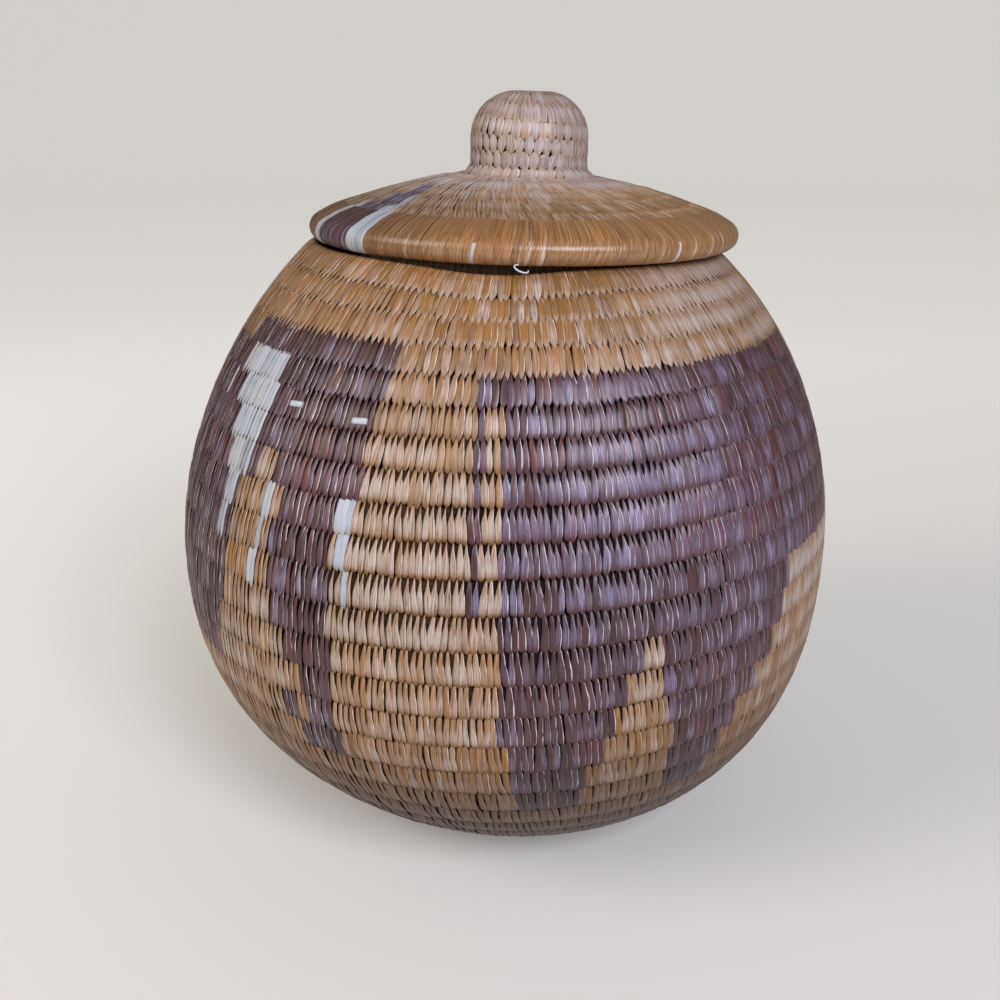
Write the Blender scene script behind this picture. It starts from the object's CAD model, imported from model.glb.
"""Looks of a coiled basket with a lift-off lid: every stitch of leaf strip is modelled over its bundle of grass.
Lengths are in metres. The front faces -Y, and azimuths are in degrees round from the front towards +X."""

import math

import bpy
import numpy as np
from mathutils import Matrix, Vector


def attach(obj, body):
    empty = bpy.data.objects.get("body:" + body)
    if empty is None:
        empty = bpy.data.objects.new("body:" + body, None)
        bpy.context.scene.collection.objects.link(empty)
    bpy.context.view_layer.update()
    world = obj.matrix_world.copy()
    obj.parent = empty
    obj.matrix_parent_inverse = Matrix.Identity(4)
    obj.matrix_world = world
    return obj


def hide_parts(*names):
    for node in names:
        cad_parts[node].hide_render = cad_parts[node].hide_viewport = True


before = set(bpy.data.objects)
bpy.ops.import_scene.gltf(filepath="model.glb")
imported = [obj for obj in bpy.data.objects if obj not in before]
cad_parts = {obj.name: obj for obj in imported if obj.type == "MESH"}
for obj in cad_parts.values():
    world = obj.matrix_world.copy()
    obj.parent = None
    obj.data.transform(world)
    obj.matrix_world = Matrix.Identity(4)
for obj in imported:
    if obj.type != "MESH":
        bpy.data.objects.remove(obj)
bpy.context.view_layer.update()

# Finishes
# Strips of palm leaf, split lengthwise and dyed by boiling with bark or roots, or left bleached. The strips show
# fine fibres along them. Their edges and the parts that hands don't reach are darker. The grass under them is brown.
MM = 0.001


def colour(code):
    """Linear red, green, blue and alpha of an sRGB hex code."""
    parts = np.array([int(code[at:at + 2], 16) / 255.0 for at in (1, 3, 5)])
    linear = np.where(parts <= 0.04045, parts / 12.92, ((parts + 0.055) / 1.055) ** 2.4)
    return (*linear, 1.0)


def add_node(tree, kind, sockets=(), **settings):
    """A shader node. sockets gives each input's constant, or the output it is linked from."""
    made = tree.nodes.new(kind)
    for name, value in settings.items():
        setattr(made, name, value)
    for name, value in dict(sockets).items():
        if isinstance(value, bpy.types.NodeSocket):
            tree.links.new(value, made.inputs[name])
        else:
            made.inputs[name].default_value = value
    return made


def new_material(name):
    material = bpy.data.materials.new(name)
    material.use_nodes = True
    return material, material.node_tree, material.node_tree.nodes["Principled BSDF"]


def leaf_strip(name, light, middle, dark, grime, worn, warm, frayed, roughness):
    """Dried leaf strip. UV is in mm across and along the strip. tone is one stitch's lightness and warm its redness,
    deep is 0 on the open face and 1 in a crevice, edge runs from -1 at the tucked side to 1 at the raised one, age is
    how much light and hands have greyed it, and glint is how much the raised side has frayed pale."""
    material, tree, shader = new_material(name)
    place = add_node(tree, "ShaderNodeUVMap", uv_map="UVMap").outputs["UV"]
    tone, reddened, deep, edge, age, glint = (
        add_node(tree, "ShaderNodeAttribute", attribute_name=key).outputs["Fac"]
        for key in ("tone", "warm", "deep", "edge", "age", "glint"))
    own = add_node(tree, "ShaderNodeMath", {0: tone, 1: 91.7}, operation="MULTIPLY").outputs[0]
    stretched = add_node(tree, "ShaderNodeVectorMath", {0: place, 1: (3.4, 0.16, 0.0)},
                         operation="MULTIPLY").outputs[0]
    fibre = add_node(tree, "ShaderNodeTexNoise", {"Vector": stretched, "W": own, "Scale": 1.0, "Detail": 3.0,
                     "Roughness": 0.65}, noise_dimensions="4D").outputs["Fac"]
    ramp = add_node(tree, "ShaderNodeValToRGB", {"Fac": fibre})
    ramp.color_ramp.elements[0].position = 0.30
    ramp.color_ramp.elements[0].color = colour(dark)
    ramp.color_ramp.elements[1].position = 0.68
    ramp.color_ramp.elements[1].color = colour(light)
    ramp.color_ramp.elements.new(0.48).color = colour(middle)
    lightness = add_node(tree, "ShaderNodeMapRange", {"Value": tone, "To Min": 0.74, "To Max": 1.20}).outputs[0]
    dyed = add_node(tree, "ShaderNodeMix", {0: reddened, 6: ramp.outputs["Color"], 7: colour(warm)},
                    data_type="RGBA").outputs[2]
    toned = add_node(tree, "ShaderNodeHueSaturation", {"Value": lightness, "Color": dyed}).outputs[0]
    streak = add_node(tree, "ShaderNodeMapRange", {"Value": fibre, "From Min": 0.36, "From Max": 0.62,
                      "To Min": 0.15, "To Max": 1.60}).outputs[0]
    greyed = add_node(tree, "ShaderNodeMath", {0: age, 1: streak}, operation="MULTIPLY", use_clamp=True).outputs[0]
    aged = add_node(tree, "ShaderNodeMix", {0: greyed, 6: toned, 7: colour(worn)}, data_type="RGBA").outputs[2]
    ragged = add_node(tree, "ShaderNodeMath", {0: fibre, 1: 1.5, 2: edge}, operation="MULTIPLY_ADD").outputs[0]
    raised_side = add_node(tree, "ShaderNodeMapRange", {"Value": ragged, "From Min": 1.45, "From Max": 1.62},
                           interpolation_type="SMOOTHSTEP").outputs[0]
    pale = add_node(tree, "ShaderNodeMath", {0: raised_side, 1: glint}, operation="MULTIPLY",
                    use_clamp=True).outputs[0]
    edged = add_node(tree, "ShaderNodeMix", {0: pale, 6: aged, 7: colour(frayed)}, data_type="RGBA").outputs[2]
    dirty = add_node(tree, "ShaderNodeMapRange", {"Value": edge, "From Min": -0.35, "From Max": -1.0,
                     "To Max": 0.68}).outputs[0]
    dirty = add_node(tree, "ShaderNodeMath", {0: dirty, 1: deep}, operation="ADD", use_clamp=True).outputs[0]
    final = add_node(tree, "ShaderNodeMix", {0: dirty, 6: edged, 7: colour(grime)}, data_type="RGBA").outputs[2]
    tree.links.new(final, shader.inputs["Base Color"])
    rough = add_node(tree, "ShaderNodeMapRange", {"Value": fibre, "To Min": roughness + 0.10,
                     "To Max": roughness - 0.08}).outputs[0]
    tree.links.new(rough, shader.inputs["Roughness"])
    raised = add_node(tree, "ShaderNodeBump", {"Height": fibre, "Strength": 0.55, "Distance": 0.12 * MM}).outputs[0]
    tree.links.new(raised, shader.inputs["Normal"])
    shader.inputs["Specular IOR Level"].default_value = 0.55
    return material


def grass_bundle(name, light, dark, stained):
    """Grass stems of the foundation: UV is in mm round and along the bundle. dyed is 1 where dye ran into the grass."""
    material, tree, shader = new_material(name)
    place = add_node(tree, "ShaderNodeUVMap", uv_map="UVMap").outputs["UV"]
    stretched = add_node(tree, "ShaderNodeVectorMath", {0: place, 1: (1.3, 0.05, 0.0)},
                         operation="MULTIPLY").outputs[0]
    stems = add_node(tree, "ShaderNodeTexNoise", {"Vector": stretched, "Scale": 1.0, "Detail": 3.0}).outputs["Fac"]
    ramp = add_node(tree, "ShaderNodeValToRGB", {"Fac": stems})
    ramp.color_ramp.elements[0].position = 0.35
    ramp.color_ramp.elements[0].color = colour(dark)
    ramp.color_ramp.elements[1].position = 0.70
    ramp.color_ramp.elements[1].color = colour(light)
    dyed = add_node(tree, "ShaderNodeAttribute", attribute_name="dyed").outputs["Fac"]
    final = add_node(tree, "ShaderNodeMix", {0: dyed, 6: ramp.outputs["Color"], 7: colour(stained)},
                     data_type="RGBA").outputs[2]
    tree.links.new(final, shader.inputs["Base Color"])
    raised = add_node(tree, "ShaderNodeBump", {"Height": stems, "Strength": 0.7, "Distance": 0.4 * MM}).outputs[0]
    tree.links.new(raised, shader.inputs["Normal"])
    shader.inputs["Roughness"].default_value = 0.9
    shader.inputs["Specular IOR Level"].default_value = 0.2
    return material


# Leaf dyed tan, then browned by handling
tan_strip = leaf_strip("tan_leaf_strip", "#ae8352", "#8c6234", "#654122", "#3b2418",
                       worn="#b9aba2", warm="#8e632e", frayed="#d2c0ae", roughness=0.42)
# Leaf dyed dark with roots, reddish where the dye took less and lilac grey where it has faded
dark_strip = leaf_strip("dark_leaf_strip", "#5d3837", "#442626", "#291517", "#1e1113",
                        worn="#867c97", warm="#643533", frayed="#cdc2c6", roughness=0.38)
# Leaf bleached in the sun and left undyed
bleached_strip = leaf_strip("bleached_leaf_strip", "#bcc2cc", "#abb0ba", "#95989f", "#86807b",
                            worn="#b2bac8", warm="#b0a99e", frayed="#d6dae0", roughness=0.46)
# The lid's tan: a deeper golden brown
golden_strip = leaf_strip("golden_leaf_strip", "#a87b44", "#855b2f", "#5d3c1e", "#432912",
                          worn="#c0aa96", warm="#8b5e24", frayed="#c9ab90", roughness=0.28)
# Tan leaf worn silvery by fingers, on the knob
silvery_strip = leaf_strip("silvery_leaf_strip", "#b39c8b", "#9c8373", "#7a6151", "#5c4330",
                           worn="#b8adad", warm="#a87f55", frayed="#c9bdba", roughness=0.44)
# Grass stems of the foundation, brown with age between the stitches
foundation = grass_bundle("grass_foundation", "#503722", "#2c1c13", "#1b1215")
STRIPS = (tan_strip, dark_strip, bleached_strip, golden_strip, silvery_strip)
TAN, DARK, WHITE, GOLD, SILVER = range(5)

# Coils, wound as the CAD part's are
# One long bundle is wound row on row from a knot in the middle to the finished edge. Each turn reaches half way to
# its neighbours' middle lines, and the end thins into the last step at the back.
draw = np.random.default_rng(11)


def ease(x):
    """Nought to one with a level start and a level end: 3x^2 - 2x^3."""
    x = np.clip(x, 0.0, 1.0)
    return x * x * (3.0 - 2.0 * x)


def strip_faces(count, along, across):
    """Quads of separate strips of along x across points each. They face out when across runs right and along up."""
    corner = (np.arange(along - 1)[:, None] * across + np.arange(across - 1)).ravel()
    quad = np.stack([corner, corner + 1, corner + across + 1, corner + across], axis=1)
    return (np.arange(count)[:, None, None] * along * across + quad).reshape(-1, 4)


def tube_faces(along, around):
    """Quads of a tube: ring after ring of points along it, each ring closed on itself."""
    ring = np.arange(around)
    after = (ring + 1) % around
    row = np.arange(along - 1)[:, None] * around
    return np.stack([row + ring, row + around + ring, row + around + after, row + after], axis=2).reshape(-1, 4)


def cap_faces(along, around):
    """The two end faces of a tube, as fans round their own middle points, which follow the tube's points."""
    ring = np.arange(around)
    after = (ring + 1) % around
    first = along * around
    last = (along - 1) * around
    start = np.stack([ring, after, np.full(around, first)], axis=1)
    stop = np.stack([last + after, last + ring, np.full(around, first + 1)], axis=1)
    return np.concatenate([start, stop])


def make_piece(name, body, points, quads, materials, replaced=(), triangles=None, finish=None,
               uv=None, values=None):
    """A smooth mesh that rides on a body. finish numbers each quad's material, uv and values are per point."""
    points = points.reshape(-1, 3)
    mesh = bpy.data.meshes.new(name)
    corners = quads.ravel()
    starts = np.arange(len(quads)) * 4
    if triangles is not None:
        starts = np.concatenate([starts, len(corners) + np.arange(len(triangles)) * 3])
        corners = np.concatenate([corners, triangles.ravel()])
    mesh.vertices.add(len(points))
    mesh.vertices.foreach_set("co", points.ravel())
    mesh.loops.add(len(corners))
    mesh.loops.foreach_set("vertex_index", corners)
    mesh.polygons.add(len(starts))
    mesh.polygons.foreach_set("loop_start", starts)
    if finish is not None:
        mesh.polygons.foreach_set("material_index", finish)
    mesh.update(calc_edges=True)
    if uv is not None:
        layer = mesh.uv_layers.new(name="UVMap")
        layer.data.foreach_set("uv", uv.reshape(-1, 2)[corners].ravel())
    for key, value in (values or {}).items():
        mesh.attributes.new(key, "FLOAT", "POINT").data.foreach_set("value", value.ravel())
    mesh.shade_smooth()
    for material in materials:
        mesh.materials.append(material)
    made = bpy.data.objects.new(name, mesh)
    bpy.context.scene.collection.objects.link(made)
    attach(made, body)
    if replaced:
        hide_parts(*replaced)


class Coil:
    """A bundle wound along an outline. A point is given by turn (how far round), s (-1 to 1 from the row before to the
    row after) and n (out from the outline, in half row widths):
    place = outline(level(turn) + s reach) + n half_width normal, turned to angle = start + 2 pi turn. step_share is
    the share of its turn in which the last row climbs to the edge. The rows before it climb over ever more of
    theirs. side is -1 where the outline runs down, and settle moves the wound points to where the maker left them."""

    def __init__(self, radius, height, row_width, step_share, side, settle):
        run = np.concatenate([[0.0], np.cumsum(np.hypot(np.diff(radius), np.diff(height)))])
        spread_rows = 0.5 * (1.0 / row_width[1:] + 1.0 / row_width[:-1]) * np.diff(run)
        count = np.concatenate([[0.0], np.cumsum(spread_rows)])
        self.rows = int(round(count[-1] - 0.5))
        self.fit = count[-1] / (self.rows + 0.5)
        self.count = count / self.fit
        self.radius = radius
        self.height = height
        self.slope = np.unwrap(np.arctan2(np.gradient(height), np.gradient(radius)))
        self.row_width = row_width
        self.step_share = step_share
        self.side = side
        self.start = 0.5 * math.pi + math.pi * step_share
        self.settle = settle

    def level(self, turn):
        ended = turn >= self.rows
        earlier = turn - ended
        row = np.floor(earlier)
        share = 1.0 - (1.0 - self.step_share) * np.clip((row - 1.0) / (self.rows - 2), 0.0, 1.0)
        rise = np.clip((earlier - row - 1.0 + share) / share, 0.0, 1.0)
        level = row + rise * share + ease(rise) * (1.0 - share)
        level = np.where(turn < 1.0, 0.5 + 0.5 * turn, level)
        return np.where(ended, self.rows + 0.5 * (level - self.rows + 1.0), level)

    def reaches(self, turn):
        """Half widths, in rows, towards the row before and the row after."""
        here = self.level(turn)
        after = 0.5 * (self.level(np.minimum(turn + 1.0, self.rows + 0.999)) - here)
        before = 0.5 * (here - self.level(np.maximum(turn - 1.0, 0.0)))
        after = np.where(turn >= self.rows - 1, 0.5, after)
        before = np.where(turn < 2.0, 0.5, before)
        ends = np.where(turn < 1.0, 0.5 * turn, self.rows + 0.5 - here)
        at_end = (turn < 1.0) | (turn >= self.rows)
        return np.where(at_end, ends, before), np.where(at_end, ends, after)

    def half_width(self, turn):
        before, after = self.reaches(turn)
        return 0.5 * (before + after) * self.fit * np.interp(self.level(turn), self.count, self.row_width)

    def place(self, turn, s, n):
        before, after = self.reaches(turn)
        level = self.level(turn) + s * np.where(s > 0.0, after, before)
        slope = np.interp(level, self.count, self.slope)
        out = n * self.half_width(turn)
        radius = np.interp(level, self.count, self.radius) + self.side * np.sin(slope) * out
        height = np.interp(level, self.count, self.height) - self.side * np.cos(slope) * out
        angle = self.start + 2.0 * math.pi * turn
        places = np.stack([radius * np.cos(angle), radius * np.sin(angle), height], axis=-1)
        return self.settle(np.stack([radius * np.cos(angle), radius * np.sin(angle), height], axis=-1))

    def azimuth(self, turn):
        """Degrees round from the front towards +X, from -180 to 180."""
        return (np.degrees(self.start + 2.0 * math.pi * turn) - 270.0 + 180.0) % 360.0 - 180.0


# One stitch, from the point where it enters the row before, over the open face, between two rows and down the other
# face to where it comes out: place across the row (s), height off the outline (n), and half width in stitches. A
# drawn stitch is a blade at the top, between the holes of the next row's stitches, and tucks in round at the bottom.
# A laid one is full width at the top, and its lower end is a long point over the row before.
DRAWN = np.array([
    (-1.31, 0.48, 0.06), (-1.25, 0.62, 0.24), (-1.15, 0.75, 0.42), (-1.02, 0.86, 0.54), (-0.86, 0.94, 0.58),
    (-0.60, 1.00, 0.59), (-0.28, 1.04, 0.57), (0.00, 1.03, 0.50), (0.20, 0.99, 0.38), (0.42, 0.91, 0.26),
    (0.70, 0.76, 0.16), (0.92, 0.58, 0.11), (1.00, 0.00, 0.22), (0.78, -0.62, 0.36), (0.10, -1.00, 0.52),
    (-0.80, -0.95, 0.52), (-1.26, -0.58, 0.10),
])
LAID = np.array([
    (-1.58, 0.84, 0.02), (-1.45, 0.96, 0.11), (-1.30, 1.00, 0.22), (-1.14, 1.01, 0.34), (-0.94, 1.01, 0.48),
    (-0.62, 1.02, 0.57), (-0.30, 1.03, 0.58), (0.00, 1.02, 0.58), (0.26, 1.00, 0.55), (0.50, 0.96, 0.48),
    (0.76, 0.93, 0.40), (1.00, 0.88, 0.32), (1.06, 0.40, 0.26), (0.78, -0.62, 0.36), (0.10, -1.00, 0.52),
    (-0.80, -0.95, 0.52), (-1.26, -0.58, 0.10),
])
ACROSS = np.array([-1.0, -0.6, 0.0, 0.6, 1.0])
GRASS_SIDES = 16
GRASS_SHARE = 0.84


def stitch_turns(coil, pitch, block=36):
    """Turn of every stitch's middle and the number of stitches per turn there. Rows in a run have the same number and
    a half, so that each stitch enters the row before between two of its stitches."""
    rows = np.arange(coil.rows + 1)
    radius = np.interp(coil.level(rows + 0.5), coil.count, coil.radius)
    width = np.interp(rows, *pitch)
    number = np.maximum(block * 0.25, np.round(2.0 * math.pi * radius / width / block) * block) + 0.5
    number = np.maximum(number, 6.5)
    passed = np.concatenate([[0.0], np.cumsum(number)])
    turns = np.interp(np.arange(int(passed[-1])) + 0.5, passed, np.arange(coil.rows + 2))
    return turns, number[np.minimum(turns.astype(int), coil.rows)]


def tone_runs(count, low, high):
    """One lightness per stitch: a leaf strip lasts for so many stitches, and each stitch differs a little."""
    lengths = draw.integers(low, high, count)
    strip = np.searchsorted(np.cumsum(lengths), np.arange(count), side="right")
    own = draw.uniform(0.0, 1.0, count)[strip]
    return np.clip(0.5 + 0.55 * (own - 0.5) + 0.22 * draw.standard_normal(count), 0.0, 1.0)


def wavering(count, reach):
    """A random lean per stitch that stitches close together share: noise averaged over so many neighbours."""
    noise = draw.standard_normal(count + 2 * reach)
    window = np.hanning(2 * reach + 1)
    return np.convolve(noise, window / np.sqrt(np.sum(window ** 2)), mode="valid")


def stitched(name, body, coil, turns, number, kinds, replaced, age, lean=0.0, relief=1.0, laid=0.0, closed=0.0,
             open_top=0.0, soil=0.0, thin=0.035):
    """Leaf-strip stitches over a bundle. A point of a stitch is turn + (w c + slant s + bow (1 - |s|) + jitter) / number
    along, and 1.04 - relief (1.04 - n) + lift - thin c^2 + tilt c out, with c from -1 to 1 across. laid blends the drawn
    profile into the laid one, closed widens its blades, and open_top keeps the top wide and round where no row
    follows. The lower end takes the height of the row before, by a factor on all of the above."""
    count = len(turns)
    bleached = kinds == WHITE
    loose = 1.0 - np.maximum(0.8 * bleached, 0.5 * laid)
    jitter = 0.07 * loose * draw.standard_normal(count)
    slant = lean + loose * (0.08 * draw.standard_normal(count) + 0.07 * wavering(count, 4))
    bow = loose * (0.08 * draw.standard_normal(count) + 0.05 * wavering(count, 3))
    wide = np.maximum(np.clip(1.0 + 0.09 * draw.standard_normal(count), 0.86, 1.25), 1.08 * bleached)
    bite = 0.18 * draw.standard_normal(count)
    smooth = np.sqrt(relief)
    lift = 0.018 * smooth * draw.standard_normal(count)
    tilt = (0.035 + 0.020 * draw.standard_normal(count)) * smooth
    drawn_in = draw.uniform(0.60, 1.60, count)
    tone = tone_runs(count, 14, 40)
    warm = np.clip(1.7 * (tone_runs(count, 12, 50) - 0.50), 0.0, 1.0)
    glint = np.clip(draw.uniform(-0.3, 1.6, count), 0.0, 1.0)
    closed = np.maximum(closed, 1.0 * bleached)
    bleach = 0.45 * (draw.uniform(0.0, 1.0, count) > 0.93)

    def each(values):
        return (np.zeros(count) + values)[:, None, None]

    profile = DRAWN + each(laid) * (LAID - DRAWN)
    s, n, w = (profile[:, :, at, None] for at in range(3))
    c = ACROSS[None, None, :]
    upper = np.clip((s - 0.1) / 0.5, 0.0, 1.0)
    w = w * (1.0 + upper * (1.0 - 0.7 * each(laid)) * (each(drawn_in) - 1.0))
    w = w + each(closed) * np.clip(s / 0.3, 0.0, 1.0) * np.clip((1.0 - s) / 0.22, 0.0, 1.0) * (0.53 - w)
    w = w + each(open_top) * upper * (0.56 - w)
    reach = s - each(bite) * np.clip(-1.0 - s, 0.0, 1.0) + 0.17 * each(open_top) * ((s > 0.5) & (n < 0.0))
    face = np.sign(n)
    rounded = 1.04 - (each(relief) + each(open_top) * upper * (1.0 - each(relief))) * (1.04 - np.abs(n))
    row_before = np.clip(coil.half_width(np.maximum(turns - 1.0, 0.5)) / coil.half_width(turns), 0.75, 1.10)
    lower = 1.0 + (each(row_before) - 1.0) * ease((-0.6 - s) / 0.8)
    height = face * lower * (rounded + each(lift) - thin * c ** 2 + each(tilt) * c)
    swerve = each(slant) * s + each(bow) * (1.0 - np.abs(s)) + each(jitter)
    along = each(turns) + (w * each(wide) * c + swerve) / each(number)
    reach, height, along = np.broadcast_arrays(reach, height, along)
    points = coil.place(along, reach, height)
    pitch = 2.0 * math.pi * np.interp(coil.level(turns), coil.count, coil.radius) / number
    run = np.concatenate([[0.0], np.cumsum(np.hypot(np.diff(DRAWN[:, 0]), np.diff(DRAWN[:, 1])))])
    uv = np.stack(np.broadcast_arrays(
        w * c * each(pitch) / MM, run[None, :, None] * each(coil.half_width(turns)) / MM), axis=-1)
    under = np.clip((-0.80 - s) / 0.30, 0.0, 1.0) * (1.0 - each(laid))
    crest = np.exp(-((s + 0.35) / 0.55) ** 2)
    tip = each(laid * np.clip(4.0 * relief, 0.0, 1.0)) * np.exp(-((s + 1.12) / 0.24) ** 2)
    crevice = np.clip((s - 0.80) / 0.20, 0.0, 1.0) * (1.0 - each(open_top)) * (1.0 - 0.8 * each(laid))
    shape = points.shape[:3]
    full = np.ones(shape)
    worn = (each(age) + each(bleach)) * (0.40 + 0.85 * crest) * (1.0 - 0.85 * under) + 0.50 * tip
    values = {
        "tone": each(tone) * full,
        "warm": np.maximum(each(warm), 0.8 * under) * full,
        "deep": np.clip(0.35 * crevice + 0.30 * under + each(soil), 0.0, 1.0) * full,
        "edge": (0.8 + 0.2 * each(smooth)) * (1.0 - 0.5 * each(bleached)) * c * full,
        "age": np.clip(worn, 0.0, 1.0) * full,
        "glint": each(glint) * np.clip(1.0 - under, 0.0, 1.0) * full,
    }
    quads = strip_faces(count, *shape[1:])
    finish = np.repeat(kinds, len(quads) // count)
    make_piece(name, body, points, quads, STRIPS, replaced, finish=finish, uv=uv, values=values)


def grass_tube(name, body, coil, begin, end, steps, power=2.4, dyed=None):
    """The bundle under the stitches: a closed tube with n = 0.84 (1 - |s|^power)^0.5, from one turn to another."""
    turns = np.linspace(begin, end, int((end - begin) * steps) + 1)
    round_it = 2.0 * math.pi * np.arange(GRASS_SIDES) / GRASS_SIDES
    s = np.cos(round_it)
    n = GRASS_SHARE * np.sign(np.sin(round_it)) * np.sqrt(1.0 - np.abs(s) ** power)
    turn, s, n = np.broadcast_arrays(turns[:, None], 0.98 * s[None, :], n[None, :])
    points = coil.place(turn, s, n).reshape(-1, 3)
    middles = coil.place(turns[[0, -1]], np.zeros(2), np.zeros(2))
    radius = np.interp(coil.level(turn), coil.count, coil.radius)
    uv = np.stack([round_it[None, :] * coil.half_width(turn) / MM, radius * 2.0 * math.pi * turn / MM], axis=-1)
    uv = np.concatenate([uv.reshape(-1, 2), np.zeros((2, 2))])
    stain = np.repeat(dyed(turns).astype(float) if dyed else 0.0 * turns, GRASS_SIDES)
    points = np.concatenate([points, middles])
    quads = tube_faces(len(turns), GRASS_SIDES)
    caps = cap_faces(len(turns), GRASS_SIDES)
    make_piece(name, body, points, quads if coil.side > 0 else quads[:, ::-1], (foundation,),
               triangles=caps if coil.side > 0 else caps[:, ::-1], uv=uv,
               values={"dyed": np.concatenate([stain, [0.0, 0.0]])})


# Body
# One bundle of grass, from the knot under the base to the mouth, sewn with leaf strip in tan, dark and bleached runs.
# The rows stand as the maker's hand left them: a little off the belly's axis and out of level.
BASKET = "basket"
STEP_SHARE = 0.25
# Turns at which the grass begins and the last row's stitches end
FIRST_GRASS, LAST_REACH = 0.12, 0.93
BUNDLE = 0.0105
# The solids' bundles have six sides, so a corner lies half a width over this from the middle line
CORNER_COSINE = math.cos(math.pi / 6.0)
BELLY_RADIUS = 0.5 * 0.240 - 0.5 * BUNDLE / CORNER_COSINE
BASE_HEIGHT = 0.5 * BUNDLE / CORNER_COSINE - 0.1 * BUNDLE
BASE_RADIUS, MOUTH_RADIUS = 0.030, 0.0674
BELLY_HEIGHT, MOUTH_HEIGHT = 0.1105, 0.2131
LOWER_FULLNESS, SHOULDER_FULLNESS = 2.4, 1.87
BELLY_ROW, MOUTH_ROW = 0.0110, 0.0086
BASE_DRIFT, MOUTH_DRIFT = 0.0084, 0.0032
HAND_ROLL = math.tan(math.radians(1.2))
MOUTH_SAG, SAG_PLACE, SAG_WIDTH = 0.0021, -0.006, 0.022
SAG_BOTTOM, SAG_RISE = 0.196, 0.016
OUTLINE_STEPS = 400
FOOT_SOFTNESS = 0.0010


def hand_sewn(places):
    """x + base drift low^2 + mouth drift high^2, z + x roll, and z pressed flat within 1 mm of the table. The mouth
    sags by a bell curve 22 mm wide, just left of the front, a little more than the solid does."""
    x, y, z = np.moveaxis(places, -1, 0)
    sag = MOUTH_SAG * np.exp(-((x - SAG_PLACE) / SAG_WIDTH) ** 2)
    z = z - sag * ease((z - SAG_BOTTOM) / SAG_RISE) * (y < 0.0)
    low = np.clip((BELLY_HEIGHT - z) / BELLY_HEIGHT, 0.0, 1.0)
    high = np.clip((z - BELLY_HEIGHT) / (MOUTH_HEIGHT - BELLY_HEIGHT), 0.0, 1.0)
    roll = HAND_ROLL * (ease(z / BELLY_HEIGHT) * (1.0 - high ** 2) - high ** 4)
    drift = BASE_DRIFT * low ** 2 + MOUTH_DRIFT * high ** 2
    z = z + x * roll
    pressed = FOOT_SOFTNESS * np.exp(np.minimum(z - FOOT_SOFTNESS, 0.0) / FOOT_SOFTNESS)
    return np.stack([x + drift, y, np.where(z < FOOT_SOFTNESS, pressed, z)], axis=-1)


drop_end = (1.0 - (BASE_RADIUS / BELLY_RADIUS) ** 2) ** (1.0 / LOWER_FULLNESS)
rise_end = (1.0 - (MOUTH_RADIUS / BELLY_RADIUS) ** 2) ** (1.0 / SHOULDER_FULLNESS)
drop = np.linspace(drop_end, 0.0, OUTLINE_STEPS)
rise = np.linspace(0.0, rise_end, OUTLINE_STEPS)[1:]
body_radii = np.concatenate([np.linspace(0.0, BASE_RADIUS, OUTLINE_STEPS)[:-1],
                             BELLY_RADIUS * np.sqrt(1.0 - drop ** LOWER_FULLNESS),
                             BELLY_RADIUS * np.sqrt(1.0 - rise ** SHOULDER_FULLNESS)])
body_heights = np.concatenate([np.full(OUTLINE_STEPS - 1, BASE_HEIGHT),
                               BELLY_HEIGHT - (BELLY_HEIGHT - BASE_HEIGHT) * drop / drop_end,
                               BELLY_HEIGHT + (MOUTH_HEIGHT - BELLY_HEIGHT) * rise / rise_end])
upper_share = ease((body_heights - BELLY_HEIGHT) / (MOUTH_HEIGHT - BELLY_HEIGHT))
body_coil = Coil(body_radii, body_heights, BELLY_ROW + (MOUTH_ROW - BELLY_ROW) * upper_share, STEP_SHARE,
                 1.0, hand_sewn)

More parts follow.
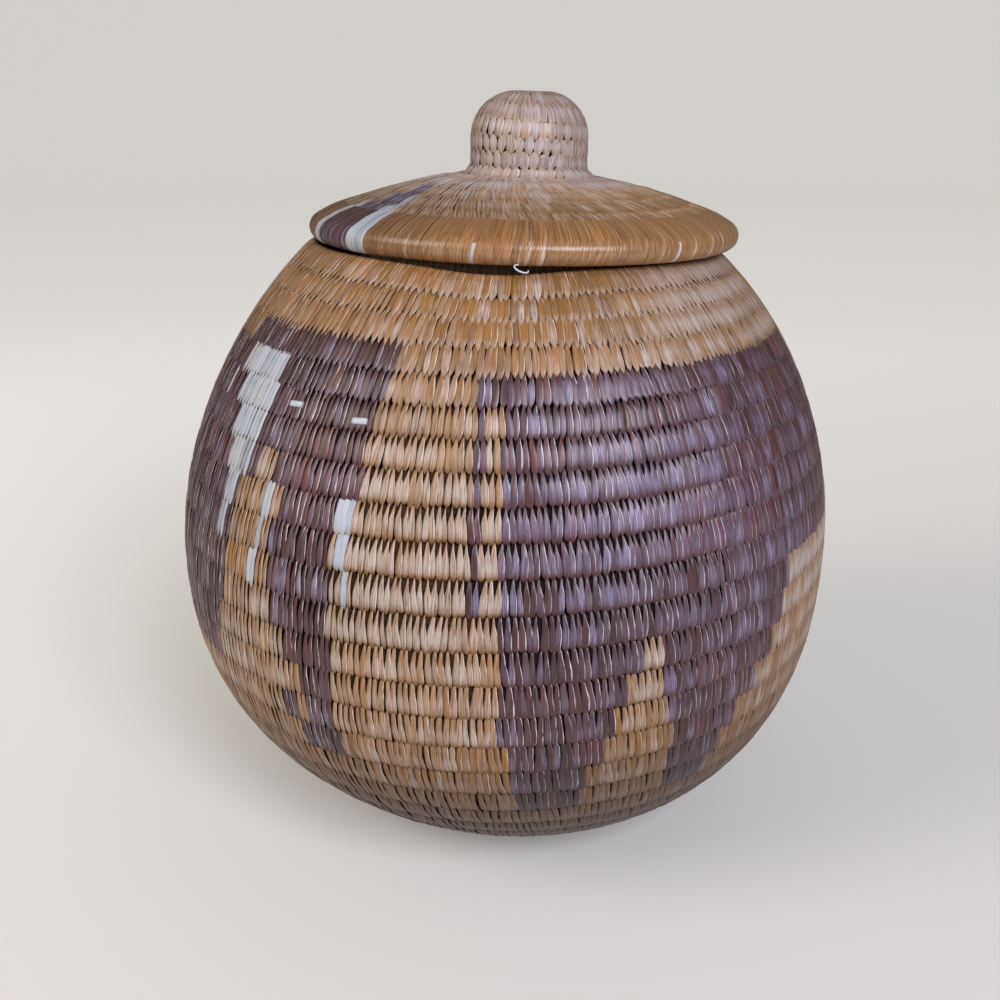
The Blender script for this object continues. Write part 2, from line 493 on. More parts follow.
# Runs of colour by row, in degrees: kind, from, to. Later runs lie over earlier ones, and what has none is tan.
BODY_RUNS = {
    25: ((DARK, -65.0, -20.5),),
    24: ((DARK, -80.0, -21.4), (WHITE, -62.0, -46.3), (DARK, -5.4, 79.0)),
    23: ((DARK, -80.0, -22.8), (WHITE, -64.2, -63.0), (WHITE, -57.5, -46.0), (DARK, -5.0, 79.0), (TAN, -3.4, -0.5)),
    22: ((DARK, -80.0, -22.9), (WHITE, -54.6, -46.4), (DARK, -5.0, 79.0), (TAN, -3.3, -0.5)),
    21: ((DARK, -80.0, -22.9), (WHITE, -53.0, -47.3), (TAN, -45.0, -40.0), (DARK, -5.0, 79.0), (TAN, -3.3, -0.5)),
    20: ((DARK, -80.0, -25.7), (WHITE, -52.5, -49.0), (TAN, -47.9, -37.0), (WHITE, -41.0, -39.3),
         (WHITE, -25.7, -23.6), (DARK, -5.0, 79.0), (TAN, -3.3, -0.5)),
    19: ((DARK, -80.0, -26.4), (WHITE, -52.5, -50.4), (TAN, -48.2, -38.2), (WHITE, -41.8, -40.4),
         (WHITE, -26.0, -23.7), (DARK, -5.0, 79.0), (TAN, -3.3, -0.5)),
    18: ((DARK, -80.0, -26.4), (TAN, -49.3, -38.0), (WHITE, -43.0, -40.7), (WHITE, -24.3, -22.9),
         (DARK, -5.0, 75.0), (TAN, -3.4, -0.4)),
    17: ((DARK, -80.0, -26.8), (TAN, -49.4, -38.0), (DARK, -0.6, 51.4)),
    16: ((DARK, -80.0, -26.4), (TAN, -50.7, -35.6), (DARK, -0.6, 49.3), (TAN, 21.2, 23.4)),
    15: ((DARK, -80.0, -26.8), (TAN, -52.5, -33.0), (DARK, -1.0, 47.7), (TAN, 18.7, 23.8)),
    14: ((DARK, -37.2, -34.6), (DARK, -32.5, -26.8), (DARK, -0.7, 43.8), (TAN, 16.4, 26.2)),
    13: ((DARK, -34.6, -26.8), (DARK, 0.4, 40.5), (TAN, 14.8, 27.3)),
    12: ((DARK, 0.4, 38.2), (TAN, 12.3, 27.1)),
    11: ((DARK, 0.7, 36.0), (TAN, 11.8, 27.1)),
}
FRONT_HALF = 80.0


def folded_azimuth(turns):
    """The back repeats the front, half a turn on."""
    azimuth = body_coil.azimuth(turns)
    return np.where(np.abs(azimuth) > FRONT_HALF, azimuth % 360.0 - 180.0, azimuth)


def body_kinds(turns):
    row = np.round(body_coil.level(turns))
    azimuth = folded_azimuth(turns)
    kinds = np.full(len(turns), TAN)
    for level, runs in BODY_RUNS.items():
        for kind, begin, end in runs:
            kinds[(row == level) & (azimuth >= begin) & (azimuth < end)] = kind
    return kinds


def body_age(turns, kinds):
    """The tan is greyest round the front of the belly and right of the lid. The dark is faded right of the front,
    above the belly."""
    row = body_coil.level(turns)
    azimuth = folded_azimuth(turns)
    patch = np.sin(np.radians(2.0 * azimuth) + 0.7 * row) + np.sin(np.radians(5.0 * azimuth) - 1.3 * row + 1.0)
    tan_age = np.interp(row, [0, 9, 11, 13, 15, 17, 19, 21, 23, 25, 28],
                        [0.35, 0.30, 0.08, 0.20, 0.52, 0.70, 0.62, 0.55, 0.22, 0.08, 0.04])
    tan_age = tan_age + 0.45 * ease((azimuth - 12.0) / 35.0) * ease((row - 21.0) / 3.0)
    tan_age = tan_age * (1.0 - 0.45 * ease((-20.0 - azimuth) / 25.0))
    faded = 0.22 + 0.98 * np.exp(-((azimuth - 23.0) / 24.0) ** 2)
    dark_age = np.interp(row, [8, 12, 15, 18, 21, 22, 23, 25],
                         [0.0, 0.02, 0.10, 0.27, 0.39, 0.37, 0.23, 0.10]) * faded
    age = np.where(kinds == DARK, dark_age, tan_age)
    return np.clip(age * (1.0 + 0.22 * patch) + 0.13 * draw.standard_normal(len(turns)), 0.0, 0.95)


body_turns, body_number = stitch_turns(body_coil, ([0, 8, 14, 22, 28], np.array([2.2, 2.1, 1.92, 1.95, 2.0]) * MM))
JOINT = 2.0 / 18.0
BODY_END = body_coil.rows + LAST_REACH
STRETCHES = (
    ("base", "base_coil", "weathered_leaf", 0.0, 5 + JOINT),
    ("lower_wall", "lower_wall_coil", "mixed_leaf", 5 + JOINT, 10 + JOINT),
    ("lower_belly", "lower_belly_coil", "mixed_leaf", 10 + JOINT, 14 + JOINT),
    ("upper_belly", "upper_belly_coil", "dark_leaf", 14 + JOINT, 18 + JOINT),
    ("shoulder_lower", "shoulder_coil", "tan_leaf", 18 + JOINT, 22 + JOINT),
    ("shoulder_upper", "shoulder_coil", "tan_leaf", 22 + JOINT, 27 + JOINT),
    ("mouth", "mouth_coil", "golden_leaf", 27 + JOINT, BODY_END),
)
body_kind = body_kinds(body_turns)
body_worn = body_age(body_turns, body_kind)
body_level = body_coil.level(body_turns)
body_lean = -0.20 * np.sin(np.radians(2.0 * (body_coil.azimuth(body_turns) + 4.0)))
body_open = np.clip(10.0 * (body_turns - body_coil.rows + 1.0), 0.0, 1.0)
body_side = ease((np.abs(folded_azimuth(body_turns)) - 15.0) / 40.0)
body_laid = np.maximum(np.interp(body_level, [20, 23, 25.5, 27], [0.0, 0.25, 0.75, 1.0]), 0.55 * body_side)
body_relief = np.interp(body_level, [12, 16, 19, 23, 26], [0.28, 0.50, 0.62, 0.50, 0.22]) * (1.0 - 0.60 * body_side)
body_closed = np.interp(body_level, [13, 15, 18, 24.5, 26.5], [0.80, 0.45, 0.0, 0.0, 0.85])
body_closed = np.maximum(body_closed, 0.85 * body_side)
body_soil = np.interp(body_level, [0, 7, 9, 11, 13, 14], [0.90, 0.88, 0.86, 0.62, 0.20, 0.04])
for stretch, node, slot, begin, end in STRETCHES:
    mine = (body_turns >= begin) & (body_turns < end)
    grass_tube(stretch + "_grass", BASKET, body_coil, max(begin, FIRST_GRASS), end, 72,
               dyed=lambda turns: body_kinds(turns) == DARK)
    stitched(stretch + "_stitches", BASKET, body_coil, body_turns[mine], body_number[mine], body_kind[mine],
             (node,), body_worn[mine], body_lean[mine], body_relief[mine], body_laid[mine], body_closed[mine],
             body_open[mine], body_soil[mine])


# Knots
# Each coil starts from a small button of grass, bent round on itself and bound with strip from its middle outward.
# The first turn of the coil is sewn to it.
def plain_leaf(count, tone, deep=0.0, edge=0.0, age=0.0):
    """The same values all over a piece of strip in which no stitches are told apart."""
    values = {"tone": tone, "warm": 0.0, "deep": deep, "edge": edge, "age": age, "glint": 0.0}
    return {key: np.zeros(count) + value for key, value in values.items()}


def knot(name, body, middle, size, node, strip, ribs):
    """Ribbed button: radius r (1 - 0.07 rib) sin(a)^0.7, height h (1 - 0.06 rib) |cos(a)|^0.8, with h the top's or the
    bottom's and rib = (1 - cos(ribs b)) / 2."""
    radius, top, bottom = size
    bands, sides = 12, ribs * 6
    a = np.linspace(0.0, math.pi, bands + 1)[1:-1, None]
    b = 2.0 * math.pi * np.arange(sides)[None, :] / sides
    rib = 0.5 - 0.5 * np.cos(ribs * b)
    out = radius * np.sin(a) ** 0.7 * (1.0 - 0.07 * rib)
    up = np.where(a < 0.5 * math.pi, top, bottom) * np.sign(np.cos(a)) * np.abs(np.cos(a)) ** 0.8
    points = np.stack(np.broadcast_arrays(out * np.cos(b), out * np.sin(b), up * (1.0 - 0.06 * rib)), axis=-1)
    points = np.concatenate([points.reshape(-1, 3), [(0.0, 0.0, 0.96 * top), (0.0, 0.0, -0.96 * bottom)]]) + middle
    ring = np.arange(sides)
    after = (ring + 1) % sides
    last = (bands - 2) * sides
    caps = np.concatenate([np.stack([ring, after, np.full(sides, len(points) - 2)], axis=1),
                           np.stack([last + after, last + ring, np.full(sides, len(points) - 1)], axis=1)])
    quads = tube_faces(bands - 1, sides)
    uv = np.stack(np.broadcast_arrays(radius * b * 0.5 / MM, radius * a / MM), axis=-1).reshape(-1, 2)
    uv = np.concatenate([uv, np.zeros((2, 2))])
    edge = np.concatenate([np.broadcast_to(rib ** 2, (bands - 1, sides)).ravel(), [0.5, 0.5]])
    values = plain_leaf(len(points), 0.45, 0.15, -edge, 0.6)
    make_piece(name, body, points, quads, (strip,), (node,), triangles=caps, uv=uv, values=values)


# Radius, height of the top and depth of the bottom
BASE_KNOT = (0.0074, 0.0052, 0.0046)
base_middle = hand_sewn(np.array([0.0, 0.0, BASE_HEIGHT]))
knot("base_knot", BASKET, base_middle, BASE_KNOT, "start_knot", tan_strip, 9)

# Lid
# The lid is wound the same way, from a knot on top of the knob down its side and over the crown. It sits tipped up a
# little at the front and left.
LID = "lid"
LID_SEAT = np.array([0.0069, 0.0, 0.22015])
LID_TIP, LID_ROLL = math.radians(-0.8), math.radians(1.3)
RIM_RADIUS, RIM_WIDTH = 0.0707, 0.0088
RIM_RISE = math.radians(21.0)
CROWN_ROW, KNOB_ROW = 0.0096, 0.0055
INNER_FALL, OUTER_FALL = math.tan(math.radians(11.0)), math.tan(math.radians(20.0))
KNOB_RADIUS, KNOB_TOP, KNOB_SHOULDER, KNOB_DRIFT = 0.0206, 0.0459, 0.0125, 0.0012
NECK_FLARE, NECK_GROWTH = 0.0090, 0.018
ROW_GAP = 0.0005
KNOB_KNOT = (0.0038, 0.0026, 0.0026)


def lid_seated(places):
    """Turned about X and then Y by the lid's tip and roll, and moved to its seat. The knob is first moved off the rim's
    axis, by a share that grows from the rim up to the neck."""
    x, y, z = np.moveaxis(places, -1, 0)
    x = x + KNOB_DRIFT * ease((z - last_height) / (flare_height - last_height))
    y, z = y * math.cos(LID_TIP) - z * math.sin(LID_TIP), y * math.sin(LID_TIP) + z * math.cos(LID_TIP)
    x, z = x * math.cos(LID_ROLL) + z * math.sin(LID_ROLL), z * math.cos(LID_ROLL) - x * math.sin(LID_ROLL)
    return np.stack([x, y, z], axis=-1) + LID_SEAT


knob_reach = 0.5 * (KNOB_ROW - ROW_GAP) / CORNER_COSINE
side_radius = KNOB_RADIUS - knob_reach
top_height = KNOB_TOP - knob_reach
edge_reach = 0.5 * (RIM_WIDTH + ROW_GAP)
edge_radius = RIM_RADIUS - edge_reach * math.cos(RIM_RISE)
edge_height = edge_reach * math.sin(RIM_RISE)
last_radius = edge_radius - 0.5 * CROWN_ROW * math.cos(RIM_RISE)
last_height = edge_height + 0.5 * CROWN_ROW * math.sin(RIM_RISE)
flare_radius = side_radius + NECK_FLARE * (1.0 - math.sin(math.atan(INNER_FALL)))
crown_span = last_radius - flare_radius


def crown_height(radius):
    """h = last height + span (outer x + (inner - outer) x^2 / 2), with x from 0 at the last row to 1 at the neck."""
    x = (last_radius - radius) / crown_span
    return last_height + crown_span * (OUTER_FALL * x + 0.5 * (INNER_FALL - OUTER_FALL) * x ** 2)


flare_height = crown_height(flare_radius) + NECK_FLARE * math.cos(math.atan(INNER_FALL))
shoulder_turn = np.linspace(0.5 * math.pi, 0.0, OUTLINE_STEPS)[1:]
flare_turn = np.linspace(math.pi, 1.5 * math.pi - math.atan(INNER_FALL), OUTLINE_STEPS)
crown_radii = np.linspace(flare_radius, last_radius, OUTLINE_STEPS)[1:]
lid_radii = np.concatenate([np.linspace(0.0, side_radius - KNOB_SHOULDER, OUTLINE_STEPS),
                            side_radius - KNOB_SHOULDER * (1.0 - np.cos(shoulder_turn)),
                            side_radius + NECK_FLARE * (1.0 + np.cos(flare_turn)),
                            crown_radii, [edge_radius]])
lid_heights = np.concatenate([np.full(OUTLINE_STEPS, top_height),
                              top_height - KNOB_SHOULDER * (1.0 - np.sin(shoulder_turn)),
                              flare_height + NECK_FLARE * np.sin(flare_turn),
                              crown_height(crown_radii), [edge_height]])
lid_run = np.concatenate([[0.0], np.cumsum(np.hypot(np.diff(lid_radii), np.diff(lid_heights)))])
crown_share = ease((lid_run - lid_run[2 * OUTLINE_STEPS - 1]) / NECK_GROWTH)
lid_coil = Coil(lid_radii, lid_heights, KNOB_ROW + (CROWN_ROW - KNOB_ROW) * crown_share, STEP_SHARE,
                -1.0, lid_seated)

LID_RUNS = {
    10: ((DARK, -56.0, -49.5),),
    11: ((DARK, -59.6, -47.2), (WHITE, -47.2, -43.9)),
    12: ((WHITE, -64.6, -61.0), (DARK, -61.0, -49.0), (WHITE, -49.0, -43.0)),
}
GOLDEN_ROW = 9.3


def lid_kinds(turns):
    """Silvery on the knob and golden on the crown, mixed in between."""
    level = lid_coil.level(turns)
    kinds = np.where(level + 0.5 * draw.standard_normal(len(turns)) > GOLDEN_ROW, GOLD, SILVER)
    row = np.round(level)
    azimuth = lid_coil.azimuth(turns)
    for level, runs in LID_RUNS.items():
        for kind, begin, end in runs:
            kinds[(row == level) & (azimuth >= begin) & (azimuth < end)] = kind
    return kinds


lid_pitch = np.array([1.7, 2.2, 2.9, 2.9, 2.3, 1.5, 1.35]) * MM
lid_turns, lid_number = stitch_turns(lid_coil, ([0, 3, 4, 7, 8, 9, 12], lid_pitch), 4)
lid_kind = lid_kinds(lid_turns)
lid_level = lid_coil.level(lid_turns)
lid_azimuth = lid_coil.azimuth(lid_turns)
grey_side = np.clip(0.5 - lid_azimuth / 90.0, 0.0, 1.0)
lid_worn = np.interp(lid_level, [0, 4, 7, 9, 10.5, 12], [0.30, 0.50, 0.50, 0.50, 0.22, 0.12])
lid_worn = lid_worn + np.interp(lid_level, [8.5, 9.5, 11, 12], [0.0, 0.50, 0.50, 0.25]) * grey_side
lid_worn = np.clip(lid_worn + 0.14 * draw.standard_normal(len(lid_turns)), 0.0, 0.95)
lid_relief = np.interp(lid_level, [0, 3, 4.2, 7, 8, 9.5], [0.05, 0.07, 0.36, 0.36, 0.08, 0.20])
lid_lean = np.interp(lid_level, [7, 8, 9, 10], [0.0, 0.5, 0.5, 1.0])
lid_laid = np.interp(lid_level, [3.2, 4.3, 6.7, 7.6], [1.0, 0.62, 0.62, 1.0])
lid_closed = np.interp(lid_level, [3.2, 4.3, 6.7, 7.6], [0.9, 0.10, 0.10, 0.9])
lid_soil = np.interp(lid_level, [0, 3, 4], [0.24, 0.20, 0.0])
lid_soil = lid_soil + 0.42 * grey_side * np.interp(lid_level, [9, 10.5], [0.0, 1.0])
LID_JOINT = 2.0 / 12.0
LID_END = lid_coil.rows + LAST_REACH
LID_STRETCHES = (
    ("knob_top", "knob_top_coil", "silvery_leaf", 0.0, 3 + LID_JOINT, 2.4),
    ("knob_side", "knob_side_coil", "silvery_leaf", 3 + LID_JOINT, 7 + LID_JOINT, 2.4),
    ("neck", "neck_coil", "silvery_leaf", 7 + LID_JOINT, 9 + LID_JOINT, 4.0),
    ("crown", "crown_coil", "tan_leaf", 9 + LID_JOINT, LID_END, 8.0),
)
for stretch, node, slot, begin, end, power in LID_STRETCHES:
    mine = (lid_turns >= begin) & (lid_turns < end)
    grass_tube(stretch + "_grass", LID, lid_coil, max(begin, FIRST_GRASS), end, 60, power)
    stitched(stretch + "_stitches", LID, lid_coil, lid_turns[mine], lid_number[mine], lid_kind[mine], (node,),
             lid_worn[mine], lid_lean[mine], lid_relief[mine], lid_laid[mine], lid_closed[mine], soil=lid_soil[mine])
knot("knob_knot", LID, lid_seated(np.array([0.0, 0.0, top_height])), KNOB_KNOT,
     "knob_start_knot", silvery_strip, 7)

# Collar
# A thin coil of three turns, of grass and tan strip like the rest, sewn under the crown. It drops into the mouth
# and keeps the lid over it.
COLLAR_ROW, COLLAR_TURNS, COLLAR_CLEARANCE = 0.0055, 3, 0.0043
collar_radius = MOUTH_RADIUS - 0.5 * MOUTH_ROW - COLLAR_CLEARANCE - 0.5 * (COLLAR_ROW - ROW_GAP) / CORNER_COSINE
crown_drop = 0.5 * (CROWN_ROW - ROW_GAP) / CORNER_COSINE / math.cos(math.atan(OUTER_FALL)) + ROW_GAP
collar_top = crown_height(collar_radius) - crown_drop
collar_heights = np.linspace(collar_top + 0.5 * COLLAR_ROW, collar_top - COLLAR_TURNS * COLLAR_ROW, OUTLINE_STEPS)
collar_coil = Coil(np.full(OUTLINE_STEPS, collar_radius), collar_heights, np.full(OUTLINE_STEPS, COLLAR_ROW), 1.0,
                   -1.0, lid_seated)
collar_turns, collar_number = stitch_turns(collar_coil, ([0, 3], np.array([2.1, 2.1]) * MM))
mine = collar_turns < collar_coil.rows + LAST_REACH
grass_tube("collar_grass", LID, collar_coil, 0.15, collar_coil.rows + LAST_REACH, 60)
stitched("collar_stitches", LID, collar_coil, collar_turns[mine], collar_number[mine],
         np.full(np.count_nonzero(mine), TAN), ("collar_coil",), 0.3, laid=0.4,
         open_top=np.clip(10.0 * (collar_turns[mine] - collar_coil.rows + 1.0), 0.0, 1.0))

# Rim
# A thicker bundle of grass, sewn round the crown's last row and whipped smooth with finer strip. The whipping comes
# in runs of golden tan, bleached and dark, each started where the one before ends.
RIM_STRIP = 1.05 * MM
RIM_STRIPS = int(round(2.0 * math.pi * RIM_RADIUS / RIM_STRIP))
RIM_ALONG = 4
RIM_TICKS = (-12.6, 39.8)
# Section of the whipping: it leaves the crown's last row, bridges to the rim bundle, goes round it and comes back
# under the crown. Each point is centre (0 rim, 1 last row), direction in degrees and radius in half rim widths.
RIM_PATH = np.array([
    (1, 112, 0.98), (1, 104, 1.09), (1, 92, 1.15), (1, 76, 1.16), (0.5, 70, 1.17), (0, 66, 1.02), (0, 50, 1.00),
    (0, 32, 1.00), (0, 14, 1.00), (0, -4, 1.00), (0, -22, 1.00), (0, -40, 1.00), (0, -58, 1.00), (0, -76, 1.00),
    (0, -94, 1.00), (0, -108, 1.00), (0.5, -111, 0.98), (1, -116, 1.05), (1, -128, 0.90),
])


def rim_sleeve(name, slot, begin, end, kind, node):
    """Whipping from one azimuth to another: strip rings a little aslant, with
    place = centre + (wide + lift - 0.018 c^2 + 0.012 c) (cos, sin) and angle = strip + 0.70 c + slant sin(way)."""
    first = int(round(begin / 360.0 * RIM_STRIPS))
    last = int(round(end / 360.0 * RIM_STRIPS))
    strip = np.arange(first, last)
    c = np.linspace(-1.0, 1.0, RIM_ALONG + 1)[None, None, :]
    centre, way, wide = RIM_PATH.T[:, None, :, None]
    way = np.radians(way)
    jitter = 0.06 * draw.standard_normal(len(strip))[:, None, None]
    lift = 0.005 * draw.standard_normal(len(strip))[:, None, None]
    slant = (0.8 + 0.12 * draw.standard_normal(len(strip)))[:, None, None]
    at = strip[:, None, None] + 0.5 + 0.70 * c + jitter + slant * np.sin(way)
    angle = np.radians(at / RIM_STRIPS * 360.0 + 270.0)
    wide = 0.5 * RIM_WIDTH * (wide + lift - 0.018 * c ** 2 + 0.012 * c)
    out = RIM_RADIUS + centre * (last_radius - RIM_RADIUS) + wide * np.cos(way)
    up = centre * last_height + wide * np.sin(way)
    out, up, angle = np.broadcast_arrays(out, up, angle)
    points = lid_seated(np.stack([out * np.cos(angle), out * np.sin(angle), up], axis=-1))
    full = np.ones(points.shape[:3])
    run = np.linspace(0.0, 30.0, len(RIM_PATH))[None, :, None]
    uv = np.stack(np.broadcast_arrays(0.5 * RIM_STRIP / MM * c * full, run * full), axis=-1)
    kinds = np.full((len(strip), len(RIM_PATH) - 1, RIM_ALONG), kind)
    azimuth = strip / RIM_STRIPS * 360.0
    worn = 0.06 + 0.30 * np.exp(-(azimuth / 5.0) ** 2) + 0.25 * np.exp(-((azimuth + 15.0) / 3.0) ** 2)
    greyed = draw.uniform(0.0, 1.0, len(strip)) < worn
    age = np.where(greyed, draw.uniform(0.4, 1.0, len(strip)), 0.12)[:, None, None]
    age = age * np.clip((np.arange(len(RIM_PATH)) - 4.0) / 4.0, 0.0, 1.0)[None, :, None]
    kinds[np.isin(strip, np.floor(np.array(RIM_TICKS) / 360.0 * RIM_STRIPS)), 7:] = WHITE
    tone = tone_runs(len(strip), 10, 30)[:, None, None]
    warm = np.clip(1.6 * (tone_runs(len(strip), 20, 60) - 0.45), 0.0, 0.9)[:, None, None]
    deep = 0.40 * ease((-15.0 - azimuth) / 20.0)[:, None, None] * (kind == GOLD)
    glint = np.clip(draw.uniform(-4.0, 1.3, len(strip)), 0.0, 1.0)[:, None, None]
    values = {"tone": tone * full, "warm": warm * full, "deep": deep * full, "edge": 0.8 * c * full,
              "age": age * full, "glint": glint * full}
    quads = strip_faces(len(strip), len(RIM_PATH), RIM_ALONG + 1)[:, ::-1]
    make_piece(name, LID, points, quads, STRIPS, (node,), finish=kinds.ravel(), uv=uv, values=values)


RIM_RUNS = (
    ("rim_whipping_left", "golden_leaf", -225.0, -68.0, GOLD, "rim_binding_left"),
    ("rim_whipping_white_narrow", "bleached_leaf", -68.0, -64.5, WHITE, "rim_binding_white_narrow"),
    ("rim_whipping_dark", "dark_leaf", -64.5, -49.0, DARK, "rim_binding_dark"),
    ("rim_whipping_white_wide", "bleached_leaf", -49.0, -42.6, WHITE, "rim_binding_white_wide"),
    ("rim_whipping_front", "golden_leaf", -42.6, 135.0, GOLD, "rim_binding_front"),
)
for run in RIM_RUNS:
    rim_sleeve(*run)
RING_STEPS, RING_SHARE = 144, 0.465
ring_at = (2.0 * math.pi * np.arange(RING_STEPS) / RING_STEPS)[:, None]
ring_round = 2.0 * math.pi * np.arange(GRASS_SIDES) / GRASS_SIDES
ring_out = RIM_RADIUS + RING_SHARE * RIM_WIDTH * np.cos(ring_round)
ring_up = RING_SHARE * RIM_WIDTH * np.sin(ring_round)
ring_points = lid_seated(np.stack([ring_out * np.cos(ring_at), ring_out * np.sin(ring_at), ring_up + 0.0 * ring_at],
                                  axis=-1))
ring_quads = tube_faces(RING_STEPS + 1, GRASS_SIDES)[:, ::-1] % (RING_STEPS * GRASS_SIDES)
ring_uv = np.stack(np.broadcast_arrays(4.0 * ring_round[None, :], 70.0 * ring_at), axis=-1)
make_piece("rim_grass", LID, ring_points, ring_quads, (foundation,), ("rim_bundle",), uv=ring_uv,
           values={"dyed": np.zeros(RING_STEPS * GRASS_SIDES)})

# Loose ends
# Two short ends of bleached strip, left uncut after a change of colour, lie across the dark stitches of the shoulder.
# A thin thread of leaf hangs under the rim.
def float_end(name, level, begin, end, middle, wide):
    """A strip end along the row: n = 1.13 - 0.22 (edge share)^6, with its ends and sides bent down into the stitches."""
    along, across = 17, 7
    turns = body_turns[(np.round(body_level) == level)]
    front = turns[np.argmin(np.abs(body_coil.azimuth(turns) - 0.5 * (begin + end)))]
    a = np.linspace(-1.0, 1.0, along)[:, None]
    b = np.linspace(-1.0, 1.0, across)[None, :]
    turn = front + 0.5 * (end - begin) / 360.0 * a + 0.0 * b
    s = middle + 0.5 * wide * b * (1.0 - 0.18 * a ** 8) + 0.03 * a
    n = 1.13 - 0.22 * np.maximum(np.abs(a), np.abs(b)) ** 6
    values = plain_leaf(turn.size, 0.85, age=0.1)
    uv = np.stack(np.broadcast_arrays(b, 4.0 * a), axis=-1)
    quads = strip_faces(1, along, across)[:, ::-1]
    make_piece(name, BASKET, body_coil.place(turn, s, n), quads, (bleached_strip,), uv=uv,
               values=values)


float_end("float_left", 23, -41.2, -38.0, -0.22, 0.46)
float_end("float_right", 23, -26.6, -23.4, -0.60, 0.46)


def thread(name, body, path, radius, steps=6):
    """A round thread along points: rings of radius r sin(pi share)^0.3 across the path's direction."""
    path = np.asarray(path)
    direction = np.gradient(path, axis=0)
    direction = direction / np.linalg.norm(direction, axis=1)[:, None]
    side = np.cross(direction, [0.0, 1.0, 0.0])
    side = side / np.linalg.norm(side, axis=1)[:, None]
    lift = np.cross(direction, side)
    share = np.linspace(0.04, 0.96, len(path))
    size = radius * np.sin(math.pi * share)[:, None, None] ** 0.3
    a = 2.0 * math.pi * np.arange(steps) / steps
    points = path[:, None, :] + size * (np.cos(a)[None, :, None] * side[:, None, :]
                                        + np.sin(a)[None, :, None] * lift[:, None, :])
    points = np.concatenate([points.reshape(-1, 3), path[[0, -1]]])
    values = plain_leaf(len(points), 0.9)
    make_piece(name, body, points, tube_faces(len(path), steps), (bleached_strip,),
               triangles=cap_faces(len(path), steps), uv=np.zeros((len(points), 2)), values=values)


curl = np.radians(np.linspace(-20.0, 250.0, 24))
curl_drop = -0.0048 - 0.0009 * np.sin(curl) - 0.0007 * np.cos(curl)
curl_points = np.stack([-0.0012 + 0.0021 * np.cos(curl), -0.0745 + 0.0 * curl, curl_drop], axis=-1)
thread("loose_thread", LID, lid_seated(curl_points), 0.00028)

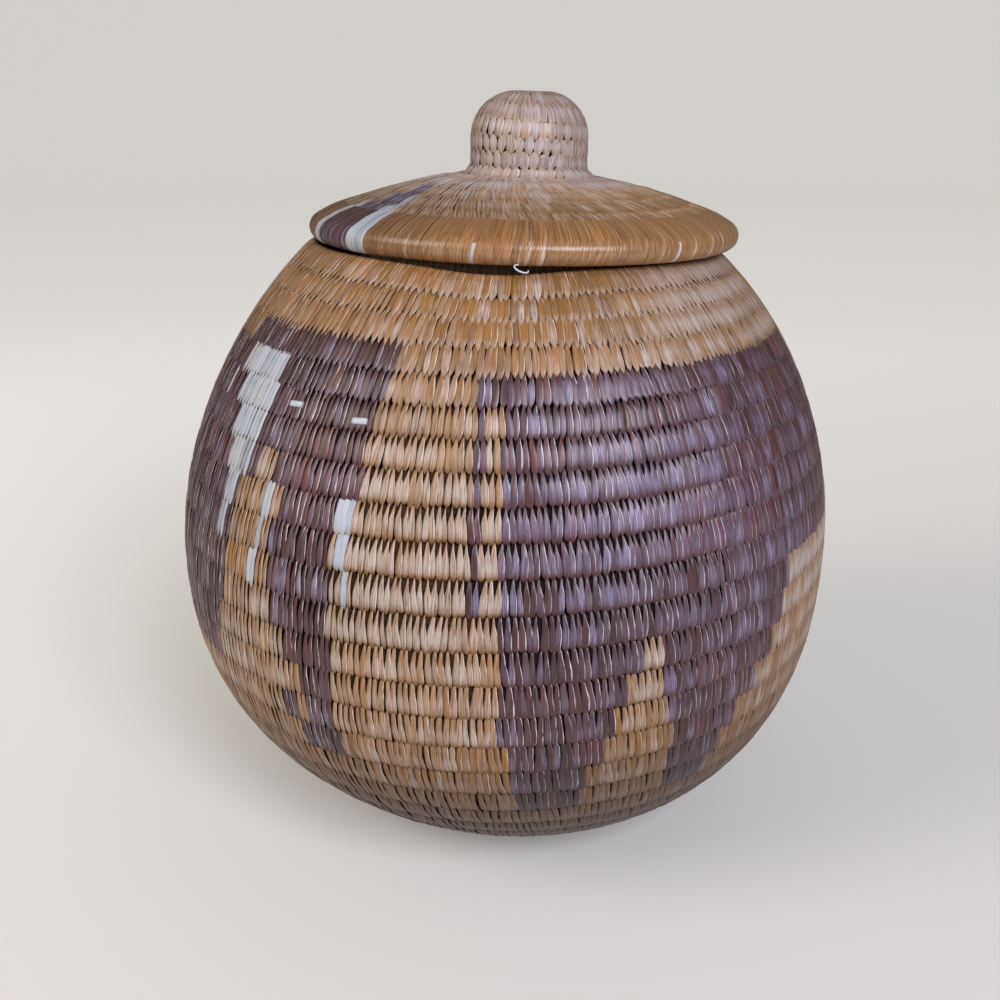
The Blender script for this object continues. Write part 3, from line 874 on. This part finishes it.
# Stage
# A pale paper sweep, round on plan, under the basket. A soft key light stands at the front right and above it, with
# a weaker one at the front left and weak light from all round.
def backdrop():
    """A round floor that sweeps up into a low wall: radius 2.6 + 2 sin(a), height 2 (1 - cos(a))."""
    around = 96
    bend = 2.0
    turn = np.linspace(0.0, 0.5 * math.pi, 24)[:, None]
    angle = 2.0 * math.pi * np.arange(around)[None, :] / around
    out = 2.6 + bend * np.sin(turn)
    up = bend * (1.0 - np.cos(turn))
    points = np.stack(np.broadcast_arrays(out * np.cos(angle), out * np.sin(angle), up), axis=-1).reshape(-1, 3)
    ring = np.arange(around)
    floor = np.stack([(ring + 1) % around, np.full(around, len(points)), ring], axis=1)
    mesh = bpy.data.meshes.new("studio_sweep")
    mesh.from_pydata([*points.tolist(), (0.0, 0.0, 0.0)], [],
                     [*tube_faces(len(turn), around).tolist(), *floor.tolist()])
    mesh.shade_smooth()
    material, tree, shader = new_material("studio_paper")
    shader.inputs["Base Color"].default_value = colour("#d9d7d3")
    shader.inputs["Roughness"].default_value = 0.9
    # To the camera alone, the paper glows a little where the lights no longer reach, so that the backdrop is even
    place = add_node(tree, "ShaderNodeTexCoord").outputs["Object"]
    distance = add_node(tree, "ShaderNodeVectorMath", {0: place, 1: (0.30, -0.80, 0.0)}, operation="DISTANCE")
    glow = add_node(tree, "ShaderNodeMapRange", {"Value": distance.outputs["Value"], "From Min": 0.3, "From Max": 1.7,
                    "To Max": 0.47}, interpolation_type="SMOOTHSTEP").outputs[0]
    seen = add_node(tree, "ShaderNodeLightPath").outputs["Is Camera Ray"]
    strength = add_node(tree, "ShaderNodeMath", {0: glow, 1: seen}, operation="MULTIPLY").outputs[0]
    shader.inputs["Emission Color"].default_value = colour("#f4f2ee")
    tree.links.new(strength, shader.inputs["Emission Strength"])
    mesh.materials.append(material)
    made = bpy.data.objects.new("studio_sweep", mesh)
    bpy.context.scene.collection.objects.link(made)


LIGHTS_AIM = Vector((0.0, 0.0, 0.13))


def area_light(name, azimuth, elevation, distance, size, power, tint):
    a, e = math.radians(azimuth), math.radians(elevation)
    back = Vector((math.sin(a) * math.cos(e), -math.cos(a) * math.cos(e), math.sin(e)))
    data = bpy.data.lights.new(name, "AREA")
    data.shape = "DISK"
    data.size = size
    data.energy = power
    data.color = colour(tint)[:3]
    made = bpy.data.objects.new(name, data)
    made.location = LIGHTS_AIM + distance * back
    made.rotation_mode = "QUATERNION"
    made.rotation_quaternion = (-back).to_track_quat("-Z", "Y")
    bpy.context.scene.collection.objects.link(made)


backdrop()
area_light("key", 22.0, 31.0, 1.2, 0.50, 11.5, "#eff0ff")
area_light("fill", -62.0, 28.0, 1.4, 0.8, 8.7, "#fff6ea")
world = bpy.data.worlds.new("studio")
world.use_nodes = True
world.node_tree.nodes["Background"].inputs["Color"].default_value = colour("#eeebe6")
world.node_tree.nodes["Background"].inputs["Strength"].default_value = 0.34
bpy.context.scene.world = world
bpy.context.scene.view_settings.view_transform = "Standard"

# The photo's camera: 20 degrees above the belly and near, so that the belly hides the underside
EYE_ELEVATION = math.radians(19.83)
EYE_DISTANCE = 0.46224
EYE_AIM = Vector((0.00404, 0.0, 0.11248))
camera_data = bpy.data.cameras.new("camera")
camera_data.lens = 43.2
camera_data.shift_x = -0.016
camera_data.shift_y = 0.0127
camera_data.clip_start = 0.01
camera = bpy.data.objects.new("camera", camera_data)
back = Vector((0.0, -math.cos(EYE_ELEVATION), math.sin(EYE_ELEVATION)))
camera.location = EYE_AIM + EYE_DISTANCE * back
camera.rotation_mode = "QUATERNION"
camera.rotation_quaternion = (-back).to_track_quat("-Z", "Y")
bpy.context.scene.collection.objects.link(camera)
bpy.context.scene.camera = camera
